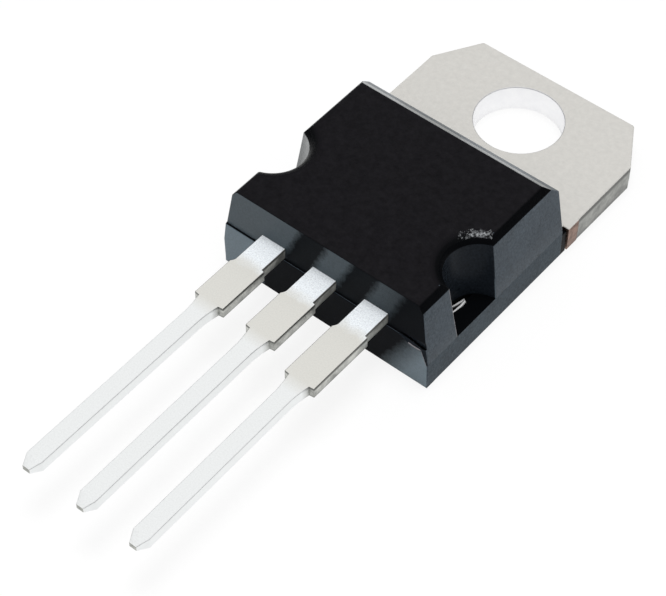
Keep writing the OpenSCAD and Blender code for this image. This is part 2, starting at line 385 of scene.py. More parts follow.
def finish_piece(piece, node, paint):
    """Paints a piece's faces, scales it to metres, smooths it and stands it in for a CAD node.

    paint gives the name of a face's material from the face's centre and normal.
    """
    names = piece.data.materials.keys()
    for face in piece.data.polygons:
        face.material_index = names.index(paint(face.center, face.normal))
    piece.data.transform(Matrix.Scale(MM, 4))
    piece.data.set_sharp_from_angle(angle=math.radians(35))
    for face in piece.data.polygons:
        face.use_smooth = abs(face.normal.z) < LEVEL
    weighted = piece.modifiers.new("weighted normals", "WEIGHTED_NORMAL")
    weighted.keep_sharp = True
    apply_modifiers(piece)
    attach(piece, BODY)
    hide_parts(node)


# ---- Materials ----


# What a node is added with to mix two colours, at sockets 6 and 7, and to give all of its outputs.
RGBA = {"out": 2, "data_type": "RGBA"}
ALL = slice(None)


def add_node(tree, kind, inputs=None, out=0, stops=(), **settings):
    """Adds a shader node with its settings, and gives one of its outputs.

    Each input is a value or the socket that feeds it. stops are a colour ramp's (place, colour), with
    its two ends first.
    """
    node = tree.nodes.new("ShaderNode" + kind)
    for name, value in settings.items():
        setattr(node, name, value)
    for name, value in (inputs or {}).items():
        if isinstance(value, bpy.types.NodeSocket):
            tree.links.new(value, node.inputs[name])
        else:
            node.inputs[name].default_value = value
    for i, (place, rgb) in enumerate(stops):
        ends = node.color_ramp.elements
        stop = ends[i] if i < len(ends) else ends.new(place)
        stop.position, stop.color = place, rgb
    return node.outputs[out] if node.outputs else node


def start_nodes(tree, coordinates="Object"):
    """Clears a node tree, and gives what adds to it and the coordinates that its patterns follow."""
    tree.nodes.clear()
    add = partial(add_node, tree)
    return add, add("TexCoord", out=coordinates)


def make_material(name, finish, *looks, **more_looks):
    """A material with one of the finishes below, which gives its surface from coordinates and looks."""
    material = bpy.data.materials.get(name) or bpy.data.materials.new(name)
    material.use_nodes = True
    add, place = start_nodes(material.node_tree)
    add("OutputMaterial", {"Surface": finish(add, place, *looks, **more_looks)})
    return material


def per_metre(millimetres):
    """The texture scale that makes a pattern repeat about every so many millimetres."""
    return 1 / (millimetres * MM)


def shade(rgb, factor=1):
    """A colour, made darker or lighter, as red, green, blue and alpha."""
    return [min(1, channel * factor) for channel in rgb] + [1]


def tones(rgb, dark, light):
    """The inputs of a mix between a darker and a lighter tone of one colour."""
    return {6: shade(rgb, dark), 7: shade(rgb, light)}


def eroded_epoxy(add, place, colours):
    """Black epoxy moulding compound from spark-eroded steel: the top, its rounded rim, the notches.

    The flat cavity floor leaves pits of about 0.02 mm, which kill the gloss and scatter some light.
    They are drawn at 0.09 mm, coarse enough to show. The rim and the notches were eroded finer, so
    they are blacker and smoother.
    """
    height = add("SeparateXYZ", {"Vector": place}, "Z")
    flat = add("MapRange", {
        "Value": height, "From Min": (BODY_HIGH.z - 0.05) * MM, "From Max": BODY_HIGH.z * MM,
    })
    patches = add("TexNoise", {"Vector": place, "Scale": per_metre(0.3), "Detail": 5, "Roughness": 0.8})
    top = add("Mix", {0: patches, **tones(colours.epoxy_top, 0.2, 1.8)}, **RGBA)
    grain = add("TexNoise", {"Vector": place, "Scale": per_metre(0.09), "Detail": 3, "Roughness": 0.6})
    sheen = add("MapRange", {"Value": flat, "To Min": 0.03, "To Max": 0.1})
    worn = add("MapRange", {
        "Value": patches, "From Min": 0.3, "From Max": 0.7, "To Min": 0.7, "To Max": 1.2,
    })
    return add("BsdfPrincipled", {
        "Base Color": add("Mix", {0: flat, 6: shade(colours.epoxy_rim), 7: top}, **RGBA),
        "Roughness": add("MapRange", {"Value": flat, "To Min": 0.34, "To Max": 0.64}),
        "Normal": add("Bump", {"Height": grain, "Distance": 0.012 * MM}),
        "IOR": 1.5,
        "Specular IOR Level": add("Math", {0: sheen, 1: worn}, operation="MULTIPLY"),
    })


def scuffed_epoxy(add, place, colours, spot):
    """Black epoxy round the notches, scuffed by handling: pale fine scratches about one spot.

    The scratches keep to the brow of the rounded rim: a step up or down counts eight times one along.
    """
    squeeze = (1, 1, 8)
    squeezed = add("VectorMath", {0: place, 1: squeeze}, operation="MULTIPLY")
    centre = Vector(squeeze) * spot * MM
    away = add("VectorMath", {0: squeezed, 1: centre}, "Value", operation="DISTANCE")
    near = add("MapRange", {
        "Value": away, "From Min": 0.1 * MM, "From Max": 1.2 * MM, "To Min": 0.16, "To Max": -0.2,
    })
    grain = add("TexNoise", {"Vector": place, "Scale": per_metre(0.12), "Detail": 4, "Roughness": 0.8})
    marks = add("MapRange", {
        "Value": add("Math", {0: grain, 1: near}), "From Min": 0.48, "From Max": 0.9,
    })
    brow = add("MapRange", {
        "Value": add("SeparateXYZ", {"Vector": place}, "Z"),
        "From Min": (BODY_HIGH.z - 0.07) * MM, "From Max": BODY_HIGH.z * MM,
    })
    clean = add("Mix", {0: brow, 6: shade(colours.epoxy_rim), 7: shade(colours.epoxy_top)}, **RGBA)
    return add("BsdfPrincipled", {
        "Base Color": add("Mix", {0: marks, 6: clean, 7: shade(colours.epoxy_scuff)}, **RGBA),
        "Roughness": 0.4,
        "Normal": add("Bump", {"Height": grain, "Distance": 0.02 * MM}),
        "IOR": 1.5,
        "Specular IOR Level": 0.05,
    })


def polished_epoxy(add, place, rgb, gloss):
    """Black epoxy moulding compound from the polished walls of the cavity: the sides and the slope.

    Polished for release, so it mirrors the light softly, with the slight waviness of stoned steel.
    """
    patches = add("TexNoise", {"Vector": place, "Scale": per_metre(1.5), "Detail": 6, "Roughness": 0.6})
    specks = add("TexNoise", {"Vector": place, "Scale": per_metre(0.09), "Detail": 4})
    tone = add("Mix", {0: patches, **tones(rgb, 0.6, 1.4)}, **RGBA)
    waves = add("TexNoise", {"Vector": place, "Scale": per_metre(0.35), "Detail": 3})
    return add("BsdfPrincipled", {
        "Base Color": add("Mix", {0: 0.9, 6: tone, 7: specks}, blend_type="SOFT_LIGHT", **RGBA),
        "Roughness": add("MapRange", {"Value": patches, "To Min": 0.2, "To Max": 0.36}),
        "Normal": add("Bump", {"Height": waves, "Distance": 0.004 * MM}),
        "IOR": 1.5,
        "Specular IOR Level": gloss,
    })


def blasted_epoxy(add, place, colours, pitch):
    """Polished epoxy moulding compound on the front, where flash was blasted off with grit.

    Grit leaves the compound pale: at the ends of the face, below the parting line too, and on a
    slanted patch above each lead. Between the leads it didn't reach, and the face stays black.
    """
    x, _, z = add("SeparateXYZ", {"Vector": place}, ALL)
    cloud = add("TexNoise", {"Vector": place, "Scale": per_metre(0.25), "Detail": 5, "Roughness": 0.7})
    ragged = add("MapRange", {"Value": cloud, "To Min": -0.35 * MM, "To Max": 0.15 * MM})
    above = add("Math", {0: z, 1: LEAD_HIGH.z * MM}, operation="SUBTRACT")
    lean = add("Math", {0: above, 1: 0.4}, operation="MULTIPLY")
    upright = add("Math", {0: x, 1: lean}, operation="SUBTRACT")
    across = add("Math", {0: upright, 1: ragged})
    # How far a place is from the nearest lead, with the face left of the first lead all blasted.
    held = add("Clamp", {"Value": across, "Min": -pitch * MM, "Max": 3.6 * MM})
    wrapped = add("Math", {0: held, 1: pitch / 2 * MM, 2: -pitch / 2 * MM}, operation="WRAP")
    patch = add("MapRange", {
        "Value": add("Math", {0: wrapped}, operation="ABSOLUTE"),
        "From Min": 0.42 * MM, "From Max": 0.78 * MM, "To Min": 1, "To Max": 0.05,
    })
    # The patches fade towards the right end.
    fade = add("MapRange", {
        "Value": across, "From Min": 1.3 * MM, "From Max": 3.5 * MM, "To Min": 1, "To Max": 0.3,
    })
    upper = add("Math", {0: patch, 1: fade}, operation="MULTIPLY")
    # Below the parting line the left end is pale, and the right end grows pale downwards.
    deep = add("Math", {0: above, 1: -0.6}, operation="MULTIPLY")
    right = add("Math", {0: x, 1: deep})
    left = add("Math", {0: x, 1: -4, 2: -7.6 * MM}, operation="MULTIPLY_ADD")
    end = add("Math", {0: right, 1: left}, operation="MAXIMUM")
    lower = add("MapRange", {
        "Value": add("Math", {0: end, 1: ragged}), "From Min": 4.3 * MM, "From Max": 5.6 * MM,
    })
    below = add("Math", {0: z, 1: (PARTING - 0.02) * MM}, operation="LESS_THAN")
    pale = add("Mix", {0: below, **tones(colours.epoxy_blasted, 1, 2.1)}, **RGBA)
    share = add("Mix", {0: below, 2: upper, 3: lower})
    specks = add("TexNoise", {"Vector": place, "Scale": per_metre(0.07), "Detail": 2})
    tone = add("Mix", {0: share, 6: shade(colours.epoxy_rim, 2.8), 7: pale}, **RGBA)
    return add("BsdfPrincipled", {
        "Base Color": add("Mix", {0: 0.35, 6: tone, 7: specks}, blend_type="SOFT_LIGHT", **RGBA),
        "Roughness": 0.4,
        "Normal": add("Bump", {"Height": cloud, "Distance": 0.004 * MM}),
        "IOR": 1.5,
        "Specular IOR Level": add("MapRange", {"Value": share, "To Min": 0.01, "To Max": 0.2}),
    })


def tin_plate(add, place, colours):
    """Matte electroplated tin over rolled copper.

    The plate's crystals scatter light evenly, so the face is satin with hardly a reflection. They
    are 0.01 mm across and are drawn at 0.08 mm, coarse enough to show.
    """
    patches = add("TexNoise", {"Vector": place, "Scale": per_metre(0.25), "Detail": 4, "Roughness": 0.7})
    grain = add("TexNoise", {"Vector": place, "Scale": per_metre(0.08), "Detail": 2, "Roughness": 0.6})
    return add("BsdfPrincipled", {
        "Base Color": add("Mix", {0: patches, **tones(colours.tin, 0.86, 1.12)}, **RGBA),
        "Metallic": 0.5,
        "Roughness": add("MapRange", {"Value": patches, "To Min": 0.42, "To Max": 0.54}),
        "Normal": add("Bump", {"Height": grain, "Distance": 0.006 * MM}),
    })


def lead_plate(add, place, colours, dip_y, frost_y):
    """Tin plate on a lead: frosted beside the moulding, plain on the shoulder, dipped on the pin.

    Inwards of frost_y coarse crystals scatter light like frost and sparkle. From dip_y outwards the
    dip leaves the pin whiter and smoother.
    """
    y = add("SeparateXYZ", {"Vector": place}, "Y")
    cloud = add("TexNoise", {"Vector": place, "Scale": per_metre(0.6), "Detail": 3})
    ragged = add("MapRange", {"Value": cloud, "To Min": -0.3 * MM, "To Max": 0.3 * MM})
    root = add("MapRange", {
        "Value": add("Math", {0: y, 1: ragged}),
        "From Min": (frost_y - 0.5) * MM, "From Max": (frost_y + 0.1) * MM,
    })
    dip = add("MapRange", {
        "Value": y, "From Min": (dip_y - 0.66) * MM, "From Max": (dip_y + 0.04) * MM,
        "To Min": 1, "To Max": 0,
    })
    grain = add("TexNoise", {"Vector": place, "Scale": per_metre(0.06), "Detail": 2, "Roughness": 0.7})
    plain = add("Mix", {0: root, 6: shade(colours.shoulder_tin), 7: shade(colours.root_tin)}, **RGBA)
    base = add("Mix", {0: dip, 6: plain, 7: shade(colours.dipped_tin)}, **RGBA)
    sparkle = add("MapRange", {
        "Value": grain, "From Min": 0.3, "From Max": 0.7, "To Min": 0.85, "To Max": 1.25,
    })
    frosted = add("MapRange", {"Value": root, "To Min": 0.25, "To Max": 1})
    relief = add("MapRange", {"Value": root, "To Min": 0.002 * MM, "To Max": 0.01 * MM})
    return add("BsdfPrincipled", {
        "Base Color": add("Mix", {0: frosted, 6: base, 7: sparkle}, blend_type="MULTIPLY", **RGBA),
        "Metallic": add("MapRange", {"Value": root, "To Min": 0.4, "To Max": 0.15}),
        "Roughness": add("MapRange", {"Value": dip, "To Min": 0.42, "To Max": 0.5}),
        "Normal": add("Bump", {"Height": grain, "Distance": relief}),
    })


def sheared_edge(add, place, colours, low, high, dip_y, frost_y, tone):
    """Punched edge of copper alloy under a thin plate, from its lower to its upper face.

    The punch rolls the upper edge over and drags it smooth and dark, then the metal tears: a paler,
    mottled zone with vertical lines and a dark burr at the foot. From dip_y outwards tin covers it.
    Inwards of frost_y coarse crystals scatter the light.
    """
    _, y, z = add("SeparateXYZ", {"Vector": place}, ALL)
    patches = add("TexNoise", {"Vector": place, "Scale": per_metre(0.7), "Detail": 4, "Roughness": 0.7})
    stretched = add("Mapping", {"Vector": place, "Scale": (1, 1, 0.15)})
    drag = add("TexNoise", {"Vector": stretched, "Scale": per_metre(0.12), "Detail": 3, "Roughness": 0.6})
    level = add("MapRange", {"Value": z, "From Min": low * MM, "From Max": high * MM})
    wander = add("MapRange", {"Value": patches, "To Min": -0.06, "To Max": 0.06})
    zone = add("ValToRGB", {"Fac": add("Math", {0: level, 1: wander})}, stops=[
        (share, shade(colours.shear, factor * tone))
        for share, factor in ((0, 0.3), (1, 0.25), (0.08, 0.6), (0.25, 1), (0.74, 1.2), (0.84, 0.25))
    ])
    mottle = add("MapRange", {"Value": patches, "From Min": 0.35, "From Max": 0.65, "To Min": 0.15})
    mottled = add("Mix", {0: mottle, 6: shade(colours.shear, 0.3 * tone), 7: zone}, **RGBA)
    dip = add("MapRange", {
        "Value": y, "From Min": (dip_y - 0.4) * MM, "From Max": dip_y * MM, "To Min": 1, "To Max": 0,
    })
    return add("BsdfPrincipled", {
        "Base Color": add("Mix", {0: dip, 6: mottled, 7: shade(colours.dipped_tin)}, **RGBA),
        "Metallic": add("MapRange", {
            "Value": y, "From Min": (frost_y - 0.3) * MM, "From Max": frost_y * MM,
            "To Min": 1, "To Max": 0.4,
        }),
        "Roughness": add("MapRange", {"Value": patches, "To Min": 0.3, "To Max": 0.5}),
        "Normal": add("Bump", {"Height": drag, "Distance": 0.01 * MM}),
    })


def cut_copper(add, place, rgb):
    """Bare copper alloy where it was cut after plating, dulled by air, with torn grain."""
    patches = add("TexNoise", {"Vector": place, "Scale": per_metre(0.3), "Detail": 4, "Roughness": 0.65})
    share = add("MapRange", {"Value": patches, "From Min": 0.35, "From Max": 0.65})
    return add("BsdfPrincipled", {
        "Base Color": add("Mix", {0: share, **tones(rgb, 0.6, 1.3)}, **RGBA),
        "Metallic": 1.0,
        "Roughness": 0.5,
        "Normal": add("Bump", {"Height": patches, "Distance": 0.015 * MM}),
    })


def fine_grained(add, place, rgb, metallic, roughness, grain, depth, spread=(0.9, 1.08)):
    """A smooth surface with a fine grain and slight patches, of a size and depth in millimetres."""
    noise = add("TexNoise", {"Vector": place, "Scale": per_metre(grain), "Detail": 3})
    return add("BsdfPrincipled", {
        "Base Color": add("Mix", {0: noise, **tones(rgb, *spread)}, **RGBA),
        "Metallic": metallic,
        "Roughness": roughness,
        "Normal": add("Bump", {"Height": noise, "Distance": depth * MM}),
    })


def white_card(add, place, colours):
    """White card under the package. It is mostly plain white, so shadows stay light."""
    fibres = add("TexNoise", {"Vector": place, "Scale": per_metre(0.4), "Detail": 2})
    card = add("BsdfDiffuse", {
        "Color": add("Mix", {0: fibres, **tones(colours.floor, 0.995, 1)}, **RGBA),
    })
    rays = [add("LightPath", out=f"Is {kind} Ray") for kind in ("Camera", "Glossy", "Transmission")]
    seen = add("Math", {0: rays[0], 1: rays[1]})
    seen = add("Math", {0: seen, 1: rays[2]}, use_clamp=True)
    share = add("Math", {0: seen, 1: 0.85}, operation="MULTIPLY")
    plain = add("Emission", {"Color": (1, 1, 1, 1), "Strength": 1})
    return add("MixShader", {0: share, 1: card, 2: plain})


# ---- Moulding ----


NOTCH_STEPS = 10
CORNER_STEPS = 5


def moulding_profiles(mould, tab):
    """How each wall of the moulding leans and rounds, from the back up to the flat top."""
    foot, strip, top = mould.back_recess, mould.strip_height, BODY_HIGH.z
    half, half_top = BODY_HIGH.x, mould.top_width / 2
    slope, run, drop = mould.rear - mould.rear_draft, mould.rear_slope_run, mould.rear_slope_drop
    soft, edge = mould.rim_radius, mould.edge_radius
    return SimpleNamespace(
        side=rise([
            (half, foot, 0), (half, strip, 0), (half_top + mould.rim_width, mould.rim, soft),
            (half_top, top, soft),
        ], -1),
        front=rise([
            (mould.front, foot, 0), (mould.front, PARTING, 0), (mould.front + mould.front_draft, top, edge),
        ], 1),
        rear=rise([
            (mould.rear, foot, 0), (mould.rear, tab.thickness, 0), (slope, top - drop, soft),
            (slope - run / 2, top - drop / 2, 0), (slope - run, top, soft),
        ], -1),
        notch=rise([
            (mould.notch_radius, strip, 0), (mould.notch_rim_radius, mould.rim, soft),
            (mould.notch_rim_radius + mould.rim_width, top, mould.notch_rounding),
        ], 1),
        lip=rise([(edge, strip, 0), (edge, mould.rim, 0), (3 * edge, top, 0)], 1),
    )


def notch_points(side, radius, lip, bare):
    """The notch in one side, from front to rear, about its own centre on the side strip.

    bare is the share of the half turn that is open down to the pad, and gets points of its own.
    """
    half = BODY_HIGH.x
    across = half - side + lip
    along = math.sqrt((radius + lip) ** 2 - across**2)
    turn = math.atan2(along, across)
    front_lip = arc((side - lip, -along), lip, 0, turn, CORNER_STEPS)
    shares = np.concatenate([
        np.linspace(1, bare, NOTCH_STEPS + 1)[1:],
        np.linspace(bare, -bare, 2 * NOTCH_STEPS + 1)[1:],
        np.linspace(-bare, -1, NOTCH_STEPS + 1)[1:-1],
    ])
    angles = [math.pi + turn * share for share in shares]
    wall = [(half + radius * math.cos(a), radius * math.sin(a)) for a in angles]
    rear_lip = [(x, -y) for x, y in reversed(front_lip)]
    return front_lip + wall + rear_lip


def moulding_half(height, profiles, mould, bare, with_notch):
    """The right half of the moulding's outline at a height, from the front to the rear."""
    side, front, rear = (at(wall, height) for wall in (profiles.side, profiles.front, profiles.rear))
    corner = mould.edge_radius
    level = max(height, mould.strip_height)
    notch = notch_points(*(at(wall, level) for wall in (profiles.side, profiles.notch, profiles.lip)), bare)
    if not with_notch:
        notch = [notch[0], notch[-1]]
    return (
        arc((side - corner, front + corner), corner, -math.pi / 2, 0, CORNER_STEPS)
        + [(x, mould.notch_y + y) for x, y in notch]
        + arc((side - corner, rear - corner), corner, 0, math.pi / 2, CORNER_STEPS)
    )


def moulding_shell(mould, tab, profiles):
    """The drafted block with its two clamp notches, open down to the pad."""
    # The pad's edge cuts the notch's floor at this share of the half turn.
    lip = mould.edge_radius
    turn = math.atan2(math.sqrt((mould.notch_radius + lip) ** 2 - lip**2), lip)
    bare = math.acos((BODY_HIGH.x - tab.pad_width / 2) / mould.notch_radius) / turn
    heights = {round(float(z), 5) for profile in vars(profiles).values() for z in profile[:, 1]}
    levels = sorted(z for z in heights if z >= mould.strip_height)
    bm = bmesh.new()
    upper = [ring(bm, mirrored(moulding_half(z, profiles, mould, bare, True)), z) for z in levels]
    skin(bm, upper)
    bm.faces.new(upper[-1])

    # Below the notches' floor the ring has only the two ends of each notch.
    count = len(upper[0])
    corner = CORNER_STEPS + 1
    notch = count // 2 - 2 * corner
    ends = [range(corner), [corner, corner + notch - 1], range(corner + notch, 2 * corner + notch)]
    right = [i for part in ends for i in part]
    kept = right + [count - 1 - i for i in reversed(right)]
    lower = []
    for z, shrink in ((mould.back_recess, lip / 2), (mould.back_recess + lip / 2, 0)):
        outline = [Vector(p) for p in mirrored(moulding_half(z, profiles, mould, bare, False))]
        lower.append(ring(bm, inset(outline, shrink), z))
    skin(bm, lower + [[upper[0][i] for i in kept]])
    bm.faces.new(lower[0])

    # Each notch's floor, and the pocket in it that bares the edge of the pad.
    open_from = CORNER_STEPS + NOTCH_STEPS
    open_to = notch - 1 - open_from
    for first, step in ((corner, 1), (count - 1 - corner, -1)):
        points = [upper[0][first + step * i] for i in range(notch)]
        bm.faces.new(points[: open_from + 1] + points[open_to:])
        edge = points[open_from : open_to + 1]
        sunk = [bm.verts.new((v.co.x, v.co.y, tab.thickness - lip)) for v in edge]
        skin(bm, [sunk, edge])
        bm.faces.new(sunk)
    return bm


def parting_block(mould, profiles):
    """The lower mould half's front, proud below the leads. Its edge is worn away at the right end."""
    flush = 0.005
    soft = 0.05
    least_proud = 0.01
    slant = 0.12
    into_front = 0.5
    side = BODY_HIGH.x - flush
    corner = at(profiles.side, PARTING) - flush
    left = [(-corner, PARTING), (-side, mould.strip_height), (-side, mould.back_recess)]
    sharp = [(side, mould.back_recess), (side, mould.strip_height), (corner, PARTING)]
    worn = [*sharp[:2], (corner - slant, PARTING - mould.worn_depth)]
    for share in np.linspace(0.1, 1, 8):
        drop = mould.worn_depth * (1 + math.cos(math.pi * max(0, 2 * share - 1))) / 2
        sharp.append((corner - mould.worn_length * share, PARTING))
        worn.append((corner - mould.worn_length * share, PARTING - drop))
    sharp, worn = ([Vector(p) for p in half + left] for half in (sharp, worn))
    bm = bmesh.new()
    rings = [[bm.verts.new((x, mould.front + into_front, z)) for x, z in sharp]]
    # From the front face out to the ledge's own face, as shares of the way back.
    for outline, share in ((sharp, 0.98), (worn, 0.3), (worn, 0.15), (worn, 0.05), (worn, 0)):
        shrink = soft * (1 - math.sqrt(1 - (1 - share) ** 2)) if outline is worn else 0
        points = []
        for x, z in inset(outline, shrink):
            proud = least_proud + (mould.ledge - least_proud) * z / PARTING
            points.append(bm.verts.new((x, mould.front - proud * (1 - share), z)))
        rings.append(points)
    closed_loft(bm, rings)
    return bm


def parting_chip(mould, profiles):
    """What is chipped off the parting line's right end: a thin wedge, deepest at the corner."""
    thin = 0.01
    past_side, past_front = 0.3, 0.5
    corner = at(profiles.side, PARTING)
    start, outside = corner - mould.worn_length, corner + past_side
    outline = [
        (start, PARTING - thin), (outside, PARTING - mould.worn_depth),
        (outside, PARTING + mould.chip_rise), (start, PARTING + thin),
    ]
    return bar(outline, "y", (mould.front - past_front, mould.front + mould.chip_depth))


def neck_fill(mould, tab, side):
    """Compound that ran past the rear wall beside the tab's neck. Its end is torn off ragged."""
    foot, top = mould.back_recess, mould.fill_height
    short = 0.06
    into_wall, into_neck = 0.2, 0.1
    # Two waves of teeth, as (height, pace).
    waves = ((0.03, 23), (0.025, 61))
    outline = [(mould.rear - into_wall, top), (mould.rear - into_wall, foot)]
    for share in np.linspace(0, 1, 15):
        tooth = sum(height * math.sin(pace * share) for height, pace in waves)
        outline.append((tab.waist - short + tooth, foot + (top - foot) * share))
    return bar(outline, "x", (side * (tab.neck_width / 2 - into_neck), side * mould.fill_width / 2))


class PACKAGE_OT_moulding(bpy.types.Operator):
    """Builds the epoxy moulding, with its notches, rear slope and parting line"""

    bl_idname = "package.moulding"
    bl_label = "Moulding"

    def execute(self, context):
        colours = context.scene.package_colours
        mould, tab, lead = package_sizes(context.scene)
        profiles = moulding_profiles(mould, tab)
        scuff = Vector((mould.scuff_x, mould.notch_y + mould.scuff_setback, BODY_HIGH.z - mould.scuff_drop))
        materials = [
            make_material("epoxy_spark_eroded", eroded_epoxy, colours),
            make_material("epoxy_polished", polished_epoxy, colours.epoxy_side, gloss=0.07),
            make_material("epoxy_front_blasted", blasted_epoxy, colours, lead.pitch),
            # Steel polished like a mirror gives the slope and the left notch their full gloss.
            make_material("epoxy_glossy", polished_epoxy, colours.epoxy_gloss, gloss=1),
            # The pin that makes the right notch is dull, so the wall is dark and hardly shines.
            make_material("epoxy_notch_wall", polished_epoxy, colours.epoxy_wall, gloss=0.04),
            make_material("epoxy_scuffed_rim", scuffed_epoxy, colours, scuff),
            # An edge that lost its black skin shows the pale filler.
            make_material("epoxy_worn_edge", polished_epoxy, colours.epoxy_worn, gloss=0.3),
            # The upright strip has no draft, so it drags on the steel and comes out matte.
            make_material("epoxy_below_notch", polished_epoxy, colours.epoxy_strip, gloss=0.02),
        ]
        piece = object_from("epoxy_moulding", moulding_shell(mould, tab, profiles), materials)
        combine(piece, parting_block(mould, profiles), "UNION")
        combine(piece, parting_chip(mould, profiles), "DIFFERENCE")
        for side in (-1, 1):
            combine(piece, neck_fill(mould, tab, side), "UNION")
        strip = mould.strip_height
        half = BODY_HIGH.x
        corner = at(profiles.side, PARTING)
        chip = mould.front + mould.chip_depth
        # The worn edge is pale in front of this, and the slope is glossy above that.
        pale_front = mould.front - 0.62 * mould.ledge
        gloss_foot = BODY_HIGH.z - 0.45 * mould.rear_slope_drop
        # A face nearer to a surface than this lies on it.
        touch = 0.01

        def paint(centre, normal):
            """The top with its rim, the notches and the rough spots are eroded, and the rest polished."""
            x, y, z = centre
            out = math.hypot(abs(x) - half, y - mould.notch_y) - at(profiles.notch, max(z, strip))
            in_notch = out < touch and abs(x) < half - 2 * touch
            on_rim = z > mould.rim and (abs(normal.x) > 0.3 or (normal.z > 0.3 and y < mould.front + 0.3))
            worn_lip = out < mould.edge_radius and y < mould.notch_y and normal.y > 0.02
            worn_end = x > corner - mould.worn_length and y < mould.front and normal.z > 0.05
            on_slope = normal.y > 0.3 and normal.z > 0.3
            if in_notch and 0.75 < normal.z < LEVEL:
                return "epoxy_scuffed_rim"
            if normal.z > 0.95 or on_rim or y > mould.rear + touch or (in_notch and z < strip):
                return "epoxy_spark_eroded"
            if in_notch:
                return "epoxy_notch_wall" if x > 0 else "epoxy_glossy"
            if worn_lip and strip < z < mould.rim:
                return "epoxy_worn_edge"
            if worn_end and strip < z < PARTING:
                pale = y < pale_front and x > corner - mould.pale_length
                return "epoxy_worn_edge" if pale else "epoxy_notch_wall"
            if abs(normal.x) > 0.99 and z < strip:
                return "epoxy_below_notch"
            if abs(y - chip) < touch / 10:
                return "epoxy_notch_wall"
            if normal.y < -0.6:
                return "epoxy_front_blasted"
            if on_slope and z > gloss_foot:
                return "epoxy_glossy"
            return "epoxy_polished"

        finish_piece(piece, "moulded_body", paint)
        return {"FINISHED"}


# ---- Leads ----


def lead_widths(lead, shoulder):
    """Half-widths of a lead's right and left edges, as (y, half-width), from the tip to the root."""
    root, wide, pin = lead.root_width / 2, lead.shoulder_width / 2, lead.pin_width / 2
    neck = lead.neck_width / 2
    start, end = lead.root + lead.reach, lead.root - shoulder
    step_right, step_left = lead.root - lead.step_right, lead.root - lead.step_left
    ramp = 0.03
    hollow = [
        (end - ramp - lead.neck_length * t, pin + (neck - pin) * (1 - math.sin(math.pi / 2 * t)))
        for t in np.linspace(0, 1, 9)
    ]
    flare = [
        (step_left + lead.flare_length * (1 - t), root + (wide - root) * (1 - math.cos(math.pi / 2 * t)))
        for t in np.linspace(0, 1, 7)
    ]
    outer = [(end, wide), *hollow, (LEAD_LOW.y + lead.tip_length, pin), (LEAD_LOW.y, lead.tip_width / 2)]
    right = [(start, root), (step_right, root), (step_right - ramp, wide), *outer]
    left = [(start, root), *flare, *outer]
    return np.array(right[::-1]), np.array(left[::-1])


def lead_strip(lead, centre_x, shoulder, lean):
    """One lead: a punched strip with rounded upper edges, lofted from tip to root."""
    right, left = lead_widths(lead, shoulder)
    low, high, tip = LEAD_LOW.z, LEAD_HIGH.z, LEAD_LOW.y
    coined = (high - low - lead.tip_thickness) / 2
    chamfer = 0.03
    stations = {round(float(y), 4) for y in np.concatenate([right[:, 0], left[:, 0]])} | {tip + chamfer}
    bm = bmesh.new()
    rings = []
    for y in sorted(stations):
        east, west = (float(np.interp(y, edge[:, 0], edge[:, 1])) for edge in (right, left))
        shrink = chamfer if y == tip else 0
        pinch = coined * max(0, 1 - (y - tip) / lead.tip_length) + shrink
        middle = centre_x + lean * max(0, 1 - (y - tip) / (BODY_LOW.y - shoulder - tip))
        x0, x1 = middle - west + shrink, middle + east - shrink
        z0, z1 = low + pinch, high - pinch
        outline = rounded([
            (x0, z0, lead.burr_radius), (x1, z0, lead.burr_radius),
            (x1, z1, lead.rollover), (x0, z1, lead.rollover),
        ], steps=4)
        rings.append([bm.verts.new((x, y, z)) for x, z in outline])
    closed_loft(bm, rings)
    return bm


def bond_post(lead, side):
    """A bond post inside the moulding: a plate with a cut corner and a lock hole."""
    start = lead.root + lead.post_setback
    end = start + lead.post_length
    inner, outer = lead.post_inner, lead.post_outer
    cut = lead.post_cut
    outline = [(inner, start), (outer - cut, start), (outer, start + cut), (outer, end), (inner, end)]
    centre = (outer - lead.post_hole_inset, end - lead.post_hole_inset)
    hole = arc(centre, lead.post_hole_diameter / 2, 0, 2 * math.pi, 32)[:-1]
    bm = bmesh.new()
    slab(bm, *(
        [ring(bm, [(side * x, y) for x, y in line], z) for z in (LEAD_LOW.z, LEAD_HIGH.z)]
        for line in (outline, hole)
    ))
    return bm


def lead_finishes(colours, lead, node, shoulder):
    """The finishes of one lead: its plated faces, its sheared edges and its cut end."""
    dip_y, frost_y = lead.root - shoulder, lead.root - lead.frost_length
    return [
        make_material("tin_on_" + node, lead_plate, colours, dip_y, frost_y),
        make_material(
            "sheared_" + node, sheared_edge, colours, LEAD_LOW.z, LEAD_HIGH.z, dip_y, frost_y, tone=1.3
        ),
        make_material("cut_end_of_" + node, cut_copper, colours.shear),
    ]


def lead_face(node, centre, normal):
    """The finish of one face of a lead."""
    if normal.y < -0.9 and centre.y < LEAD_LOW.y + 0.1:
        return "cut_end_of_" + node
    return ("tin_on_" if abs(normal.z) > 0.9 else "sheared_") + node


class PACKAGE_OT_leads(bpy.types.Operator):
    """Builds the left and right leads with their bond posts"""

    bl_idname = "package.leads"
    bl_label = "Outer leads"

    def execute(self, context):
        colours = context.scene.package_colours
        _, _, lead = package_sizes(context.scene)
        for node, side, shoulder, lean in (
            ("left_lead", -1, lead.shoulder_length, 0),
            ("right_lead", 1, lead.shoulder_length + lead.long_shoulder, lead.lean),
        ):
            materials = lead_finishes(colours, lead, node, shoulder)
            strip = lead_strip(lead, side * lead.pitch, shoulder, lean)
            piece = object_from(f"{node}_tinned", strip, materials)
            combine(piece, bond_post(lead, side), "UNION")
            finish_piece(piece, node, partial(lead_face, node))
        return {"FINISHED"}


# ---- Heat tab ----


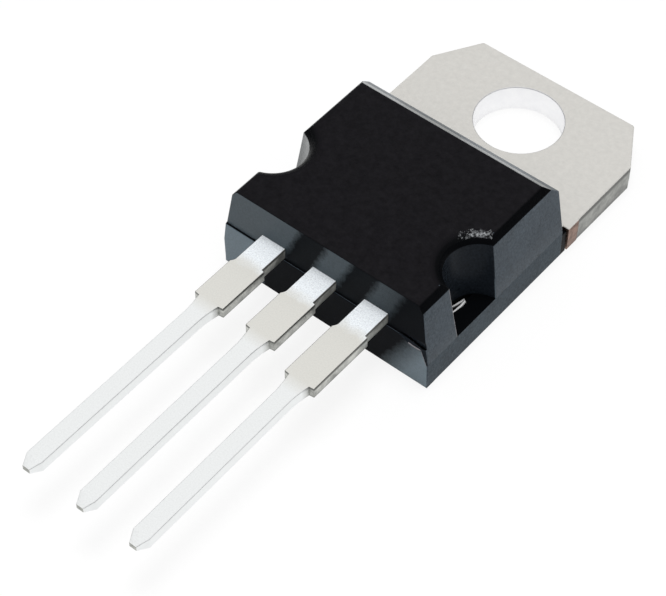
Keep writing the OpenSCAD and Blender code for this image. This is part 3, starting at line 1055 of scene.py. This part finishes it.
def tab_outline(mould, tab, height):
    """Plan of the tab, its neck and its pad at a height."""
    pad = (tab.pad_back_width if height < tab.pad_step else tab.pad_width) / 2
    neck, tie, half = tab.neck_width / 2, TAB_HIGH.x, tab.width / 2
    step = mould.rear - tab.neck_reach
    tie_end = tab.waist + tab.tie_length
    return rounded(mirrored([
        (pad, tab.heel, 0), (pad, step, 0), (neck, step, 0), (neck, tab.waist, 0), (tie, tab.waist, 0),
        (tie, tie_end, 0), (half, tie_end + tie - half, 0),
        (half, TAB_HIGH.y - tab.corner_cut_y, tab.corner_radius),
        (half - tab.corner_cut_x, TAB_HIGH.y, tab.corner_radius),
    ]))


def tab_plate(mould, tab):
    """The tab and its pad, punched from above: rolled upper edges and a torn lower zone."""
    top = tab.thickness
    burr = 0.03
    taper = 0.01
    # A narrow band round each flat face keeps its shading flat.
    band = 0.03
    levels = [
        (0, burr + band), (0, burr), (burr, 2 * taper), (tab.pad_step - 0.001, taper),
        (tab.pad_step, taper), (0.45 * top, 0),
    ]
    for turn in np.linspace(0, math.pi / 2, 6):
        levels.append((top - tab.rollover * (1 - math.sin(turn)), tab.rollover * (1 - math.cos(turn))))
    levels.append((top, tab.rollover + band))
    hole = tab.hole_diameter / 2
    bm = bmesh.new()
    slab(
        bm,
        [ring(bm, inset(tab_outline(mould, tab, z), shrink), z) for z, shrink in levels],
        [ring(bm, arc((0, 0), hole + shrink, 0, 2 * math.pi, 96)[:-1], z) for z, shrink in levels],
    )
    return bm


def tongue(tab, lead):
    """The tongue that climbs from the pad to the centre lead, inside the moulding.

    It is a little thinner than the lead and the pad that it joins, and runs into both.
    """
    slim = 0.005
    overlap = 0.3
    head = tab.heel - tab.tongue_run
    into_pad, into_lead = tab.heel + overlap, BODY_LOW.y + lead.reach
    low, high = LEAD_LOW.z + slim, LEAD_HIGH.z - slim
    top = tab.thickness - 2 * slim
    foot = top - (LEAD_HIGH.z - LEAD_LOW.z)
    outline = [
        (into_pad, top), (tab.heel + tab.tongue_lean, top), (head + tab.tongue_lean, high),
        (into_lead, high), (into_lead, low), (head - tab.tongue_lean, low),
        (tab.heel - tab.tongue_lean, foot), (into_pad, foot),
    ]
    return bar(outline, "x", (-tab.tongue_width / 2, tab.tongue_width / 2))


def tin_curl(mould, tab):
    """A fine curl of tin that the mould's clamp scraped off the pad, half sunk in its face."""
    # Places from the notch's centre on the moulding's side, and the curl's radius there.
    path = [
        (-1.12, -0.15, 0.01, 0.03), (-1.02, 0.17, 0.03, 0.05), (-0.92, 0.4, 0.1, 0.07),
        (-0.83, 0.3, 0.16, 0.07), (-0.8, 0.05, 0.17, 0.055), (-0.86, -0.42, 0.15, 0.03),
    ]
    origin = Vector((BODY_HIGH.x, mould.notch_y, tab.thickness))
    turns = [2 * math.pi * k / 8 for k in range(8)]
    up = Vector((0, 0, 1))
    bm = bmesh.new()
    rings = []
    for i, (x, y, lift, radius) in enumerate(path):
        before, after = path[max(0, i - 1)], path[min(len(path) - 1, i + 1)]
        across = Vector((before[1] - after[1], after[0] - before[0], 0)).normalized()
        centre = origin + Vector((x, y, lift))
        rings.append([
            bm.verts.new(centre + radius * (across * math.cos(a) + up * math.sin(a))) for a in turns
        ])
    closed_loft(bm, rings)
    return bm


class PACKAGE_OT_heat_tab(bpy.types.Operator):
    """Builds the heat tab with its pad and the centre lead in one piece"""

    bl_idname = "package.heat_tab"
    bl_label = "Heat tab"

    def execute(self, context):
        colours = context.scene.package_colours
        mould, tab, lead = package_sizes(context.scene)
        lead_name = "centre_lead"
        materials = [
            make_material("matte_tin_on_copper", tin_plate, colours),
            # The tab's edge is neither dipped nor frosted, so both lie beyond the leads' tips.
            make_material(
                "sheared_tab", sheared_edge, colours, 0, tab.thickness, LEAD_LOW.y, -LEAD_LOW.y, tone=0.9
            ),
            make_material("bare_cut_copper", cut_copper, colours.copper),
            # The punch burnished the bore, which mirrors the floor softly.
            make_material(
                "tin_burnished_by_the_punch", fine_grained, colours.bore_tin,
                metallic=1, roughness=0.35, grain=0.4, depth=0.002,
            ),
            # The clamp pressed the pad smooth, so it mirrors the dark notch.
            make_material(
                "tin_pressed_by_the_clamp", fine_grained, colours.pad_tin,
                metallic=1, roughness=0.16, grain=0.5, depth=0.004,
            ),
            # Torn tin is bright and rough.
            make_material(
                "tin_curl", fine_grained, colours.bore_tin,
                metallic=0.6, roughness=0.5, grain=0.1, depth=0.004,
            ),
            *lead_finishes(colours, lead, lead_name, lead.shoulder_length),
        ]
        piece = object_from("heat_tab_tinned", tab_plate(mould, tab), materials)
        combine(piece, tongue(tab, lead), "UNION")
        combine(piece, lead_strip(lead, 0, lead.shoulder_length, lead.lean), "UNION")
        combine(piece, tin_curl(mould, tab), "UNION")
        bore = tab.hole_diameter / 2 + tab.rollover
        side = tab.width / 2 - tab.rollover
        # A face nearer to a surface than this lies on it.
        touch = 0.05

        def paint(centre, normal):
            """The tab is plated, with a burnished bore, sheared edges and bare copper at the neck."""
            if centre.z > tab.thickness + 0.001 and centre.y > tab.heel:
                return "tin_curl"
            if centre.y < BODY_LOW.y + 1:
                return lead_face(lead_name, centre, normal)
            if abs(normal.z) < 0.98 and math.hypot(centre.x, centre.y) < bore:
                return "tin_burnished_by_the_punch"
            if abs(normal.z) > 0.35:
                return "tin_pressed_by_the_clamp" if centre.y < mould.rear - 0.3 else "matte_tin_on_copper"
            tie_bar = abs(normal.x) > 0.6 and abs(centre.x) > side
            if centre.y < tab.waist + touch or (tie_bar and centre.y < tab.waist + tab.tie_length + touch):
                return "bare_cut_copper"
            return "sheared_tab"

        finish_piece(piece, "heat_tab", paint)
        return {"FINISHED"}


# ---- Sealed pieces ----


class PACKAGE_OT_sealed(bpy.types.Operator):
    """Finishes the die, its solder and the bond wires, which are sealed inside"""

    bl_idname = "package.sealed"
    bl_label = "Die and wires"

    def execute(self, context):
        colours = context.scene.package_colours
        spread = (0.85, 1.15)
        # Polished silicon is a dark mirror.
        silicon = make_material(
            "polished_silicon", fine_grained, colours.silicon,
            metallic=0, roughness=0.15, grain=0.4, depth=0.001, spread=spread,
        )
        # Solder froze dull, with coarse grain.
        solder = make_material(
            "soft_solder", fine_grained, colours.solder,
            metallic=1, roughness=0.5, grain=0.2, depth=0.01, spread=spread,
        )
        # Wire drawn through a die is bright, with fine marks.
        wire = make_material(
            "drawn_aluminium_wire", fine_grained, colours.aluminium,
            metallic=1, roughness=0.3, grain=0.05, depth=0.002, spread=spread,
        )
        for node, material in (
            ("silicon_die", silicon), ("die_solder", solder), ("control_wire", wire),
            ("power_wire_inner", wire), ("power_wire_outer", wire),
        ):
            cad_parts[node].material_slots[0].material = material
        return {"FINISHED"}


# ---- Stage ----


class PACKAGE_OT_stage(bpy.types.Operator):
    """Sets out the floor, the lamp, the world and the camera"""

    bl_idname = "package.stage"
    bl_label = "Stage"

    def execute(self, context):
        stage = context.scene.package_stage
        self.floor(stage, context.scene.package_colours)
        self.world(context)
        self.lamp(context, stage)
        self.camera(context, stage)
        return {"FINISHED"}

    def floor(self, stage, colours):
        """A plain white floor just under the package."""
        bm = bmesh.new()
        bmesh.ops.create_grid(bm, x_segments=1, y_segments=1, size=stage.floor_size / 2)
        floor = object_from("floor", bm, [make_material("white_card", white_card, colours)])
        floor.location.z = -stage.floor_gap

    def world(self, context):
        """A soft box of light: bright overhead and dim at the horizon."""
        world = bpy.data.worlds.new("studio")
        context.scene.world = world
        world.use_nodes = True
        add, direction = start_nodes(world.node_tree, "Generated")
        level = add("MapRange", {
            "Value": add("SeparateXYZ", {"Vector": direction}, "Z"),
            "From Min": 0.1, "From Max": 0.75, "To Min": 0.12, "To Max": 0.93,
        })
        add("OutputWorld", {"Surface": add("Background", {"Strength": level})})

    def lamp(self, context, stage):
        """A square lamp overhead, for the soft shadow under the leads.

        Metal mirrors the soft box round it, and not this lamp, so no side of it burns out.
        """
        data = bpy.data.lights.new("lamp", "AREA")
        data.size = stage.lamp_size
        data.energy = stage.lamp_power
        lamp = bpy.data.objects.new("lamp", data)
        lamp.visible_glossy = False
        lamp.location = (0, stage.lamp_y, stage.lamp_z)
        aim = Vector((0, BODY_LOW.y * MM, 0)) - lamp.location
        lamp.rotation_euler = aim.to_track_quat("-Z", "Y").to_euler()
        context.scene.collection.objects.link(lamp)

    def camera(self, context, stage):
        """A long lens looking down at the leads' ends from the right."""
        back = Vector((
            math.sin(stage.azimuth) * math.cos(stage.elevation),
            -math.cos(stage.azimuth) * math.cos(stage.elevation),
            math.sin(stage.elevation),
        ))
        data = bpy.data.cameras.new("camera")
        data.sensor_fit = "HORIZONTAL"
        data.lens = stage.lens
        data.clip_start = 5 * MM
        camera = bpy.data.objects.new("camera", data)
        camera.location = Vector((stage.aim_x, stage.aim_y, stage.aim_z)) + back * stage.distance
        camera.rotation_euler = back.to_track_quat("Z", "Y").to_euler()
        context.scene.collection.objects.link(camera)
        context.scene.camera = camera
        context.scene.view_settings.view_transform = "Standard"


# ---- Panel and registration ----


class PACKAGE_PT_pieces(bpy.types.Panel):
    """Buttons for each piece of the package"""

    bl_label = "Power package"
    bl_idname = "PACKAGE_PT_pieces"
    bl_space_type = "VIEW_3D"
    bl_region_type = "UI"
    bl_category = "Package"

    def draw(self, context):
        for operator in OPERATORS:
            self.layout.operator(operator.bl_idname)
        for group in GROUPS:
            for name in getattr(context.scene, group).__annotations__:
                self.layout.prop(getattr(context.scene, group), name)


GROUPS = {
    "package_moulding": MouldingSizes,
    "package_tab": TabSizes,
    "package_leads": LeadSizes,
    "package_colours": PackageColours,
    "package_stage": StageSettings,
}
OPERATORS = (
    PACKAGE_OT_stage,
    PACKAGE_OT_moulding,
    PACKAGE_OT_heat_tab,
    PACKAGE_OT_leads,
    PACKAGE_OT_sealed,
)


def register():
    for item in (*GROUPS.values(), *OPERATORS, PACKAGE_PT_pieces):
        bpy.utils.register_class(item)
    for name, group in GROUPS.items():
        setattr(bpy.types.Scene, name, PointerProperty(type=group))


def unregister():
    for name in GROUPS:
        delattr(bpy.types.Scene, name)
    for item in reversed((*GROUPS.values(), *OPERATORS, PACKAGE_PT_pieces)):
        bpy.utils.unregister_class(item)


def main():
    register()
    for operator in OPERATORS:
        family, action = operator.bl_idname.split(".")
        getattr(getattr(bpy.ops, family), action)()


if __name__ == "__main__":
    main()
